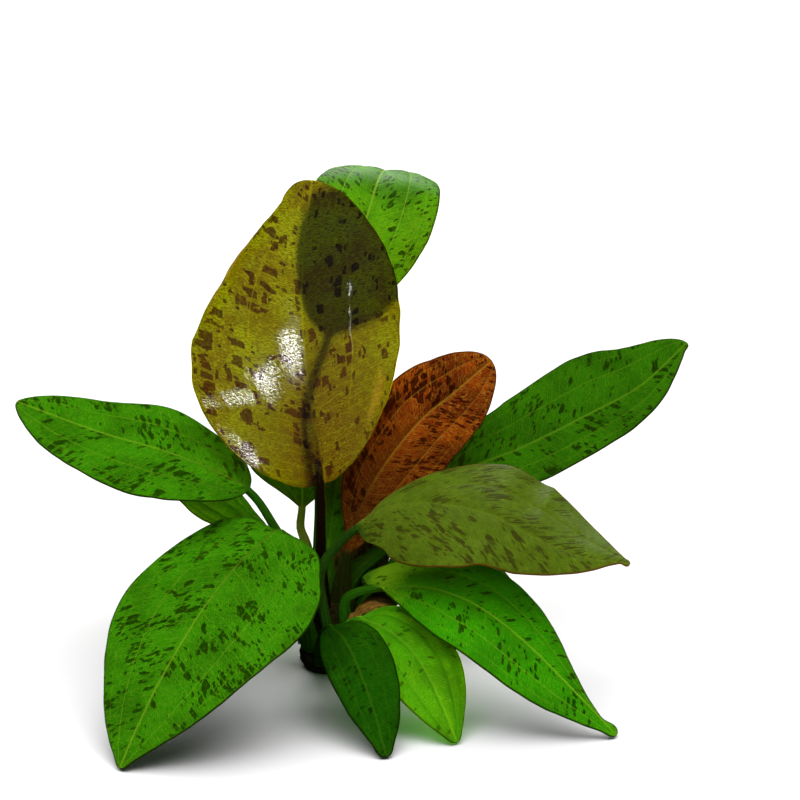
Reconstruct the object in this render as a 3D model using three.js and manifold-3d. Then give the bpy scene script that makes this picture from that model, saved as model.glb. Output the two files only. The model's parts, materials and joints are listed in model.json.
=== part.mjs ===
// A red-spotted sword plant for the aquarium: a rosette of stalked, broad leaves on a short
// fleshy crown, cut off flat where it comes out of the ground. Millimetres, +Z up. The origin
// is the middle of the flat cut. -Y is the side that the tall leaf turns its upper face to.
import * as THREE from "three";
import { mergeVertices } from "three/addons/utils/BufferGeometryUtils.js";
import Module from "manifold-3d";

const wasm = await Module();
wasm.setup();

// Driving dimensions
const CROWN_FOOT_RADIUS = 12.5;
const CROWN_WAIST_RADIUS = 11.5;
const CROWN_SHOULDER_RADIUS = 9.5;
const CROWN_TOP_RADIUS = 7;
const CROWN_HEIGHT = 28;
const CROWN_ROUNDING = 2;
const CROWN_BELLY_HEIGHT = 4;
const CROWN_WAIST_HEIGHT = 12;
const CROWN_SHOULDER_HEIGHT = 20;
const CROWN_SIDES = 20;
const GAP = 0.35; // between a stalk's foot and the crown that carries it
const BLADE_THICKNESS = 0.8;
const STALK_FOOT_RADIUS = 2.4;
const STALK_TOP_RADIUS = 1.5;
const RIB_TIP_RADIUS = 0.25;
const FLATTENING_SHARE = 1 / 12; // of the blade, in which the round stalk turns into a flat blade
const TIP_RADIUS = 3; // of a blade's tip, where its leaf gives none
const LOBE_SHARE = 0.15; // of the blade, along which the lobes of its base reach
const LOBE_WIDTH = 4; // how far out from the midrib a lobe hangs down fully
const FLARE_SHARE = 0.16; // of the blade, along which the margins of its base flare
const ROLL_WIDTH = 0.3; // of the left half, that a rolled margin takes up
const ROLL_NARROWING = 0.12; // of the left half, by which rolling draws it in
const MARGIN_WAVE_OFFSET = 2; // radians between the waves of a blade's two margins

// How finely a leaf is divided along its stalk and its blade
const STALK_STATIONS = 4;
const BLADE_STATIONS = 10;
const CURVE_DIVISIONS = 400;
const SMALLEST_LENGTH = 1e-4;

const COLOURS = { green: 0x2f8f1c, olive: 0x6f7a22, red: 0x8a3a1a, crown: 0x3a2c17, dry: 0x9a6a35 };

// Where the points across a leaf lie, as a share of its half width: evenly round a stalk, and
// close beside the midrib and then out to the margin on a blade.
const STALK_COLUMNS = [-1, -0.9, -0.7, -0.38, 0, 0.38, 0.7, 0.9, 1];
const BLADE_COLUMNS = [-1, -0.72, -0.4, -0.06, 0, 0.06, 0.4, 0.72, 1];

// Each leaf: its stalk runs from the crown to the blade's base, and the rib from there to the
// tip. left and right are the blade's halves, seen from the base with the upper face up: each
// is [half width, how far along it is widest, fullness of the base, slimness of the tip]. side
// is the way to the right half at the base and at the tip. fold lifts both halves, in shares of
// the width, and curl bends their margins down again. wave is [height, number, phase] of the
// waves along the margin. blunt is the tip's rounding on the left and the right, lobes how far
// the base hangs below the joint there, flare how far its margins are lifted, and roll how far
// the left margin is bent down beyond the middle.
const LEAVES = {
  leaf_tall: {
    colour: "olive",
    stalk: [[-3, -4, 18], [-3, -6, 45], [-3, -5, 79]],
    rib: [[-6, -1, 105], [-9, 7, 131], [-10, 14, 148], [-9, 22, 169], [-6, 30, 191]],
    left: [44.5, 0.4, 0.6, 1.1],
    right: [38, 0.56, 0.66, 0.55],
    side: [[1, 0, 0], [1, 0, 0]],
    fold: 0.12,
    curl: 0.12,
    wave: [1, 2, 0.4],
    blunt: [11, 3],
    lobes: [3.5, 1.5],
    flare: [5, 2],
    roll: 3,
  },
  leaf_top_back: {
    colour: "green",
    stalk: [[-2, 9.5, 16], [-3.5, 17, 40], [-4.5, 23, 75], [-8, 28, 106], [1, 32, 135]],
    rib: [[9, 37, 156], [15, 45, 173], [19, 56, 184], [22, 73, 185], [25, 91, 176]],
    left: [25, 0.45, 0.5, 0.8],
    right: [26.5, 0.5, 0.75, 0.7],
    side: [[1, 0, -0.1], [1, -0.1, -0.1]],
    fold: 0.25,
    curl: 0.3,
    wave: [1, 1.5, 0.8],
  },
  leaf_pale_stalk: {
    colour: "green",
    stalk: [[-5, 4, 18], [-7.5, 11, 31], [-9.5, 18, 44], [-12, 22, 50], [-11.5, 26, 56]],
    rib: [[-11.5, 32, 62], [-13, 46, 72], [-15, 64, 78], [-17, 84, 76]],
    left: [22, 0.45, 1.15, 0.8],
    right: [22, 0.45, 1.15, 0.8],
    side: [[1, 0, 0], [1, 0, 0]],
    fold: 0.1,
    curl: 0.05,
    wave: [1, 2, 0],
  },
  leaf_upright: {
    colour: "green",
    stalk: [[0, 5, 20], [-1, 7, 34], [-0.5, 9, 45]],
    rib: [[1, 11, 58], [3, 14, 75], [6, 20, 97], [9, 28, 115]],
    left: [10, 0.6, 1, 0.8],
    right: [13, 0.5, 0.8, 0.8],
    side: [[1, 0, 0], [1, 0, 0]],
    fold: 0.1,
    curl: 0,
    wave: [0.6, 2, 0],
  },
  leaf_red: {
    colour: "red",
    stalk: [[5, -2, 17], [5, 0, 32], [7, 3, 46]],
    rib: [[13, 5, 66], [20, 7, 79], [36, 11, 99], [50, 15, 110], [64, 20, 121]],
    left: [19.5, 0.62, 1.4, 0.55],
    right: [21, 0.55, 0.85, 0.55],
    side: [[0.8, 0.1, -0.6], [0.8, 0.1, -0.6]],
    fold: 0.15,
    curl: 0.1,
    wave: [0.8, 2.5, 0],
  },
  leaf_right: {
    colour: "green",
    stalk: [[3.5, 3, 17], [5, 4.5, 29], [10.5, 8, 37.5], [19, 12, 43], [45, 26, 68]],
    rib: [[77, 28, 82], [103, 29, 95.5], [124, 31, 107], [143, 38, 123]],
    left: [26, 0.55, 0.6, 0.65],
    right: [18, 0.42, 0.5, 0.9],
    side: [[0.45, -0.7, -0.5], [0.45, -0.7, -0.5]],
    fold: 0.1,
    curl: 0.1,
    wave: [1, 2, 0],
    blunt: [2, 2],
  },
  leaf_front_right: {
    colour: "olive",
    stalk: [[0, -9, 15], [-3, -12, 44], [4, -15, 57], [12, -20, 66]],
    rib: [[21, -24, 75], [38, -31, 80], [62, -38, 78], [77, -42, 71], [96, -46, 64], [114, -50, 63]],
    left: [27, 0.6, 1.9, 1.1],
    right: [26, 0.36, 0.5, 1.6],
    side: [[0.1, -0.8, -0.6], [0.1, -0.8, -0.6]],
    fold: 0.05,
    curl: 0.15,
    wave: [1.2, 2, 0],
    blunt: [1.5, 1.5],
  },
  leaf_low_right: {
    colour: "green",
    stalk: [[8, -5, 14], [6.5, -9, 31], [12, -13, 36.5], [18.5, -17, 39.5]],
    rib: [[27, -23, 42.5], [42, -34, 46], [58, -44, 43], [74, -52, 33], [92, -60, 17], [109, -68, 1]],
    left: [22, 0.36, 0.35, 2.1],
    right: [22, 0.45, 1.3, 0.9],
    side: [[-0.5, -0.75, -0.35], [-0.5, -0.75, -0.3]],
    fold: 0.02,
    curl: 0.1,
    wave: [1, 2, 0],
    lobes: [10, 0],
  },
  leaf_low_back_right: {
    colour: "green",
    stalk: [[10, 5, 9], [13, 9, 21], [22, 16, 30]],
    rib: [[34, 23, 34], [52, 31, 34], [67, 38, 27], [75, 42, 14], [78, 44, 1]],
    left: [18, 0.5, 0.8, 0.7],
    right: [15, 0.4, 0.6, 0.8],
    side: [[0.3, -0.8, -0.4], [0.6, -0.8, 0]],
    fold: 0.05,
    curl: 0.1,
    wave: [1, 2, 0],
  },
  leaf_small_right: {
    colour: "green",
    stalk: [[5, -11, 8], [5, -18, 21], [12, -25, 29.5]],
    rib: [[25, -37, 29.5], [35, -50, 24], [43, -64, 13], [49, -74, 1]],
    left: [16, 0.42, 0.5, 0.8],
    right: [17, 0.42, 0.45, 0.8],
    side: [[-0.8, -0.4, -0.4], [-0.85, -0.5, 0]],
    fold: 0.05,
    curl: 0.1,
    wave: [0.6, 2, 0],
  },
  leaf_small_front: {
    colour: "green",
    stalk: [[-1, -12, 7], [-2, -20, 19], [1, -29, 28]],
    rib: [[7, -45, 30], [13, -61, 24], [19, -75, 12], [23, -86, 1]],
    left: [14, 0.42, 0.5, 0.8],
    right: [12, 0.42, 0.6, 0.8],
    side: [[-0.9, -0.3, -0.3], [-1, -0.2, 0]],
    fold: 0.05,
    curl: 0.1,
    wave: [0.6, 2, 0],
  },
  leaf_left: {
    colour: "green",
    stalk: [[-9, -2, 13], [-11, -6, 43], [-20, -8, 60], [-31, -6, 76]],
    rib: [[-58, 0, 88], [-89, 8, 95], [-123, 16, 105]],
    left: [26, 0.45, 0.5, 0.7],
    right: [26, 0.45, 0.5, 0.7],
    side: [[0, 0.9, 0.4], [0, 0.9, 0.3]],
    fold: 0.05,
    curl: 0.12,
    wave: [1, 2, 0],
  },
  leaf_behind_left: {
    colour: "green",
    stalk: [[-9, 4, 9], [-17, 8, 36], [-23, 14, 49.5]],
    rib: [[-36, 26, 55], [-54, 42, 61], [-75, 58, 68]],
    left: [14, 0.45, 0.6, 0.7],
    right: [10, 0.6, 1.3, 0.7],
    side: [[0.6, 0.75, 0.2], [0.6, 0.75, 0.2]],
    fold: 0.05,
    curl: 0.1,
    wave: [1, 2, 0],
  },
  leaf_front_left: {
    colour: "green",
    stalk: [[-7, -8, 10], [-13, -12, 45], [-18, -18, 63]],
    rib: [[-29, -28, 59], [-44, -48, 47], [-60, -74, 27], [-68, -86, 13], [-74, -96, 1]],
    left: [42, 0.34, 0.36, 1],
    right: [36, 0.4, 0.45, 0.9],
    side: [[-0.75, 0.6, 0.15], [-0.8, 0.6, 0]],
    fold: 0.03,
    curl: 0.08,
    wave: [1.2, 2, 0],
    lobes: [6, 0],
  },
  leaf_low_back_left: {
    colour: "green",
    stalk: [[-4, 9, 9], [-14, 22, 27], [-23, 36, 33]],
    rib: [[-34, 56, 31], [-46, 74, 17], [-54, 88, 1]],
    left: [18, 0.45, 0.5, 0.8],
    right: [18, 0.45, 0.5, 0.8],
    side: [[0.95, 0.3, 0], [0.95, 0.3, 0]],
    fold: 0.05,
    curl: 0.1,
    wave: [1, 2, 0],
  },
  // the dry, curled foot of a leaf that has died off, tan inside
  old_sheath: {
    colour: "dry",
    stalk: [[8.5, -11, 17], [9.5, -13, 26]],
    rib: [[13, -14, 31], [18, -15, 34.5], [23.5, -16, 35.5], [28, -17, 34.5]],
    left: [4.5, 0.5, 0.5, 0.3],
    right: [4.5, 0.5, 0.5, 0.3],
    side: [[-0.3, -0.8, -0.5], [0.1, -0.8, -0.5]],
    fold: 0,
    curl: 0.4,
    wave: [0.3, 2, 0],
  },
};

const vector = (p) => new THREE.Vector3(...p);
const mix = (a, b, t) => a + (b - a) * t;

// The blade's half width at share s of the way from base to tip: full and round at the base,
// drawn out towards the tip.
function halfWidth(s, [widest, place, fullness, slimness]) {
  const fromWidest = s < place ? (place - s) / place : (s - place) / (1 - place);
  return widest * (1 - fromWidest ** 2) ** (s < place ? fullness : slimness);
}

// A rounded tip's half width, so far from the tip: that of a circle, fading away behind it.
function tipHalfWidth(toTip, radius) {
  const near = Math.min(1, toTip / radius);
  const beyond = Math.max(0, toTip / radius - 1) / 1.5;
  return radius * Math.sqrt(near * (2 - near)) * Math.exp(-(beyond ** 2));
}

// The points across a leaf at one station: out along the upper face from the left margin to
// the right one, and back along the lower face, where the midrib stands proud.
function ringAt(leaf, s, rod, frame) {
  const [waveHeight, waveCount, wavePhase] = leaf.wave;
  const { blunt = [TIP_RADIUS, TIP_RADIUS], lobes = [0, 0], flare = [0, 0], roll = 0 } = leaf;
  const spread = Math.min(1, s / FLATTENING_SHARE);
  const lobed = Math.max(0, 1 - s / LOBE_SHARE) ** 2;
  const flared = spread * Math.exp(-((s / FLARE_SHARE) ** 2));
  const rolled = Math.min(1, Math.max(0, (s - 0.5) / 0.15)) * Math.min(1, (1 - s) / 0.08);
  const upper = [];
  const lower = [];
  STALK_COLUMNS.forEach((stalkColumn, j) => {
    const column = mix(stalkColumn, BLADE_COLUMNS[j], spread);
    const outward = Math.abs(column);
    const k = column < 0 ? 0 : 1;
    const shape = [leaf.left, leaf.right][k];
    const tip = tipHalfWidth((1 - s) * frame.bladeLength, blunt[k]);
    const blade = frame.onBlade ? (halfWidth(s, shape) ** 4 + tip ** 4) ** 0.25 : 0;
    const half = Math.max(rod, blade);
    const roller = roll && k === 0 ? rolled * Math.max(0, 1 - (1 - outward) / ROLL_WIDTH) ** 2 : 0;
    const across = column * half * (1 - ROLL_NARROWING * roller);
    const bent = blade > rod ? half * (leaf.fold * outward - leaf.curl * outward ** 2) : 0;
    const lift = bent + flare[k] * flared * outward ** 2 - roll * roller;
    const drop = frame.onBlade ? lobes[k] * lobed * (1 - Math.exp(-Math.abs(across) / LOBE_WIDTH)) : 0;
    const turn = 2 * Math.PI * waveCount * s + wavePhase + k * MARGIN_WAVE_OFFSET;
    const wave = (waveHeight * outward ** 2 * Math.sin(turn) * blade) / shape[0];
    const round = rod * Math.sqrt(Math.max(0, 1 - (across / rod) ** 2));
    const thick = BLADE_THICKNESS / 2 + round;
    const middle = frame.point.clone();
    middle.addScaledVector(frame.side, across).addScaledVector(frame.up, lift + wave);
    middle.addScaledVector(frame.ahead, -drop);
    upper.push(middle.clone().addScaledVector(frame.up, mix(thick, BLADE_THICKNESS / 2, spread)));
    lower.unshift(middle.clone().addScaledVector(frame.up, -thick));
  });
  return [...upper, ...lower];
}

function leafRings(leaf) {
  const points = [...leaf.stalk, ...leaf.rib].map(vector);
  const curve = new THREE.CatmullRomCurve3(points, false, "centripetal");
  curve.arcLengthDivisions = CURVE_DIVISIONS;
  const lengths = curve.getLengths(CURVE_DIVISIONS);
  const joint = (leaf.stalk.length - 1) / (points.length - 1);
  const jointShare = lengths[Math.round(joint * CURVE_DIVISIONS)] / lengths[CURVE_DIVISIONS];
  const bladeLength = (1 - jointShare) * lengths[CURVE_DIVISIONS];
  const sides = leaf.side.map(vector);
  const rings = [];
  for (let i = 0; i <= STALK_STATIONS + BLADE_STATIONS; i++) {
    const onBlade = i >= STALK_STATIONS;
    const along = onBlade ? (i - STALK_STATIONS) / BLADE_STATIONS : i / STALK_STATIONS;
    // the blade's first and last stations lie closer together, where its outline turns most
    const s = onBlade ? (1 - Math.cos(Math.PI * along)) / 2 : 0;
    const share = onBlade ? mix(jointShare, 1, s) : jointShare * along;
    const tangent = curve.getTangentAt(share).normalize();
    const side = sides[0].clone().lerp(sides[1], s);
    side.addScaledVector(tangent, -side.dot(tangent)).normalize();
    const up = new THREE.Vector3().crossVectors(side, tangent);
    const rod = onBlade
      ? mix(STALK_TOP_RADIUS, RIB_TIP_RADIUS, s)
      : mix(STALK_FOOT_RADIUS, STALK_TOP_RADIUS, along);
    const point = curve.getPointAt(share);
    rings.push(ringAt(leaf, s, rod, { point, side, up, ahead: tangent, onBlade, bladeLength }));
  }
  return rings;
}

// A closed mesh through rings of equal length, with a flat cap at each end.
function loft(rings) {
  const positions = rings.flat().flatMap((p) => p.toArray());
  const n = rings[0].length;
  const faces = [];
  for (let i = 0; i + 1 < rings.length; i++)
    for (let j = 0; j < n; j++) {
      const a = i * n + j;
      const b = i * n + ((j + 1) % n);
      faces.push(a, b, a + n, b, b + n, a + n);
    }
  const last = (rings.length - 1) * n;
  for (let j = 0; j < n / 2 - 1; j++) {
    const k = n - 1 - j;
    faces.push(j, k, j + 1, j + 1, k, k - 1);
    faces.push(last + j, last + j + 1, last + k, last + j + 1, last + k - 1, last + k);
  }
  const geometry = new THREE.BufferGeometry();
  geometry.setAttribute("position", new THREE.Float32BufferAttribute(positions, 3));
  geometry.setIndex(faces);
  return geometry;
}

function solid(geometry) {
  const bare = geometry.clone();
  bare.deleteAttribute("normal");
  bare.deleteAttribute("uv");
  const merged = mergeVertices(bare, SMALLEST_LENGTH);
  return new wasm.Manifold(
    new wasm.Mesh({
      numProp: 3,
      vertProperties: new Float32Array(merged.attributes.position.array),
      triVerts: new Uint32Array(merged.index.array),
    }),
  );
}

function geometryOf(manifold) {
  const mesh = manifold.getMesh();
  const geometry = new THREE.BufferGeometry();
  geometry.setAttribute("position", new THREE.BufferAttribute(new Float32Array(mesh.vertProperties), 3));
  geometry.setIndex(new THREE.BufferAttribute(new Uint32Array(mesh.triVerts), 1));
  return geometry;
}

// The crown: a stout, tapering stump. grown makes the same shape that much larger.
function crownGeometry(grown = 0) {
  const profile = [
    [0, -grown],
    [CROWN_FOOT_RADIUS - CROWN_ROUNDING + grown, -grown],
    [CROWN_FOOT_RADIUS + grown, CROWN_BELLY_HEIGHT],
    [CROWN_WAIST_RADIUS + grown, CROWN_WAIST_HEIGHT],
    [CROWN_SHOULDER_RADIUS + grown, CROWN_SHOULDER_HEIGHT],
    [CROWN_TOP_RADIUS + grown, CROWN_HEIGHT - CROWN_ROUNDING + grown],
    [CROWN_TOP_RADIUS - 2 * CROWN_ROUNDING + grown, CROWN_HEIGHT + grown],
    [0, CROWN_HEIGHT + grown],
  ];
  const lathe = new THREE.LatheGeometry(profile.map((p) => new THREE.Vector2(...p)), CROWN_SIDES);
  return lathe.rotateX(Math.PI / 2);
}

function meshOf(name, geometry, colour) {
  const finish = { color: colour, roughness: 0.5, metalness: 0, flatShading: true };
  const mesh = new THREE.Mesh(geometry, new THREE.MeshStandardMaterial(finish));
  mesh.name = name;
  return mesh;
}

const plant = new THREE.Group();
plant.add(meshOf("crown", crownGeometry(), COLOURS.crown));
const crownWithGap = solid(crownGeometry(GAP));
for (const [name, leaf] of Object.entries(LEAVES)) {
  const pieces = solid(loft(leafRings(leaf))).subtract(crownWithGap).decompose();
  const leafClearOfCrown = pieces.sort((a, b) => b.volume() - a.volume())[0];
  plant.add(meshOf(name, geometryOf(leafClearOfCrown), COLOURS[leaf.colour]));
}

export default plant;
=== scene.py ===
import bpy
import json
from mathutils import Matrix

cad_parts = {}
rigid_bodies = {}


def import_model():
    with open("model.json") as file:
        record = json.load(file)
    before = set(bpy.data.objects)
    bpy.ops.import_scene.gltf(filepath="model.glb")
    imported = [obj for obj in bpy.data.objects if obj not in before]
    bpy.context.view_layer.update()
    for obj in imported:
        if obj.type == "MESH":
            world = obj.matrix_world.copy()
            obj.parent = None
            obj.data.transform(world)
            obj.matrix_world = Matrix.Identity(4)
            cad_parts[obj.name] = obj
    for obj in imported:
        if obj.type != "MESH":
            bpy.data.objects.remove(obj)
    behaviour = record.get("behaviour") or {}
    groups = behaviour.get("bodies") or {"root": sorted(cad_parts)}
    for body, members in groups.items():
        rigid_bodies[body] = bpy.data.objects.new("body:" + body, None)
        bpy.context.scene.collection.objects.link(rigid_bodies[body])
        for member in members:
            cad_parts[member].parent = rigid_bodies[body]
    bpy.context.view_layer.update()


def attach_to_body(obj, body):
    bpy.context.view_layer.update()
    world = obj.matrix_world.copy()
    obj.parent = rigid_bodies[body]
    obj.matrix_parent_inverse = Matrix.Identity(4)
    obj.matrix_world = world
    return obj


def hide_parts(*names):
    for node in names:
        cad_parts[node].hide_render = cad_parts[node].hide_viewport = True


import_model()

import json
import math

import bpy
import numpy as np

# The tall leaf: the largest of the plant, upright in front, olive yellow with blocky red-brown
# spots, glossy and thin enough to let light through. Its red-brown stalk grows straight up from
# the crown, and its upper left margin is rolled back.
MM = 0.001
STALK_FOOT = 2.4 * MM
STALK_TOP = 1.5 * MM
RIB_TIP = 0.25 * MM
BLADE_THICKNESS = 0.6 * MM
LOWEST = 0.2 * MM
TOUCHING = 0.001 * MM
SIDE_VEIN = 0.5
OUTER_VEIN = 0.8
CURVE_STEPS = 200
STALK_ROWS = 26
BLADE_ROWS = 120
CELLS_BETWEEN_VEINS = (7, 8, 13, 13, 8, 7)


def spine(points, joint):
    """The leaf's curve at small steps: its points, its headings, its length and that at the joint."""
    p = np.array(points, float) * MM
    p = np.vstack([2 * p[0] - p[1], p, 2 * p[-1] - p[-2]])
    u = np.linspace(0, 1, CURVE_STEPS, endpoint=False)[:, None]
    path = []
    for a, b, c, d in zip(p, p[1:], p[2:], p[3:]):
        t0, t1, t2 = (np.linalg.norm(q) ** 0.5 for q in (b - a, c - b, d - c))
        leave = ((b - a) / t0 - (c - a) / (t0 + t1) + (c - b) / t1) * t1
        arrive = ((c - b) / t1 - (d - b) / (t1 + t2) + (d - c) / t2) * t1
        bend = -3 * b + 3 * c - 2 * leave - arrive
        swing = 2 * b - 2 * c + leave + arrive
        path.append(b + leave * u + bend * u**2 + swing * u**3)
    path = np.vstack(path + [p[-2:-1]])
    length = np.concatenate([[0], np.cumsum(np.linalg.norm(np.diff(path, axis=0), axis=1))])
    heading = np.gradient(path, length, axis=0)
    return path, heading, length, length[joint * CURVE_STEPS]


def half_width(s, widest, place, fullness, slimness):
    """How far the blade reaches to one side, at share s of the way from its base to its tip."""
    s = np.clip(s, 0, 1)
    before = 1 - (np.maximum(place - s, 0) / place) ** 2
    after = 1 - (np.maximum(s - place, 0) / (1 - place)) ** 2
    return widest * MM * np.where(s < place, before**fullness, np.maximum(after, 0) ** slimness)


def columns_across(cells):
    """Shares across a blade, closer together beside each vein and the margin."""
    crowding = 0.7
    marks = [-1, -OUTER_VEIN, -SIDE_VEIN, 0, SIDE_VEIN, OUTER_VEIN, 1]
    shares = [-1.0]
    for low, high, n in zip(marks, marks[1:], cells):
        t = np.arange(1, n + 1) / n
        shares.extend(low + (high - low) * (t - crowding * np.sin(2 * np.pi * t) / (2 * np.pi)))
    return np.array(shares)


def ramp(value, start, length):
    """0 up to the start, 1 from a length beyond it, straight between."""
    return np.clip((value - start) / length, 0, 1)


def bump(distance, width):
    """1 at no distance, and next to nothing at twice the width."""
    return np.exp(-((distance / width) ** 2))


def dome(share):
    """A quarter circle's height, from 0 at share 0 to 1 at share 1."""
    return np.sqrt(share * (2 - share))


def nicks(turns, seed):
    """The uneven edge of a margin, between about -1.3 and 1.3."""
    coarse = np.sin(turns + seed) * np.sin(0.43 * turns + 2 * seed)
    return coarse + 0.3 * np.sin(2.7 * turns + 5 * np.sin(0.2 * turns))


def puckers(across, along, seed):
    """The unevenness of a blade's face at so many mm across and along, from about -1.6 to 1.6."""
    broad = np.sin(along / 3.1 + across / 5.3 + seed) * np.sin(across / 4.1 - along / 9.7 + 2 * seed)
    slanted = np.sin(along / 1.9 - np.abs(across) / 2.7 + seed) * np.sin(across / 2.3 + 3 * seed)
    return broad + 0.6 * slanted


def flat_grid(name, columns, rows):
    """A flat grid to be rolled into a leaf, with the row and the column of each of its points."""
    bpy.ops.object.select_all(action="DESELECT")
    bpy.ops.mesh.primitive_grid_add(x_subdivisions=columns, y_subdivisions=rows, size=2)
    piece = bpy.context.object
    piece.name = piece.data.name = name
    place = np.zeros(len(piece.data.vertices) * 3)
    piece.data.vertices.foreach_get("co", place)
    place = place.reshape(-1, 3)
    row = np.rint((place[:, 1] + 1) / 2 * rows).astype(int)
    column = np.rint((place[:, 0] + 1) / 2 * columns).astype(int)
    return piece, row, column


def keep_rulers(piece, distances, below, ruler, shares):
    """What the skin follows: mm to the veins and the margin, the side, and two rulers of the leaf."""
    veins = piece.data.attributes.new("veins", "FLOAT_COLOR", "POINT")
    veins.data.foreach_set("color", np.stack(distances, 1).ravel().astype(np.float32))
    side_below = piece.data.attributes.new("below", "FLOAT", "POINT")
    side_below.data.foreach_set("value", below.astype(np.float32))
    corners = np.zeros(len(piece.data.loops), np.int32)
    piece.data.loops.foreach_get("vertex_index", corners)
    piece.data.uv_layers[0].name = "ruler"
    piece.data.uv_layers["ruler"].data.foreach_set("uv", np.stack(ruler, 1)[corners].ravel())
    share_map = piece.data.uv_layers.new(name="shares")
    share_map.data.foreach_set("uv", np.stack(shares, 1)[corners].ravel())


def close_skin(piece):
    """Joins the rolled sheet along its seam, closes its foot and turns its faces outward."""
    bpy.ops.object.mode_set(mode="EDIT")
    bpy.ops.mesh.select_all(action="SELECT")
    bpy.ops.mesh.remove_doubles(threshold=TOUCHING)
    bpy.ops.mesh.select_all(action="DESELECT")
    bpy.ops.mesh.select_non_manifold()
    bpy.ops.mesh.edge_face_add()
    bpy.ops.mesh.select_all(action="SELECT")
    bpy.ops.mesh.normals_make_consistent(inside=False)
    bpy.ops.object.mode_set(mode="OBJECT")
    bpy.ops.object.shade_smooth()


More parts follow.
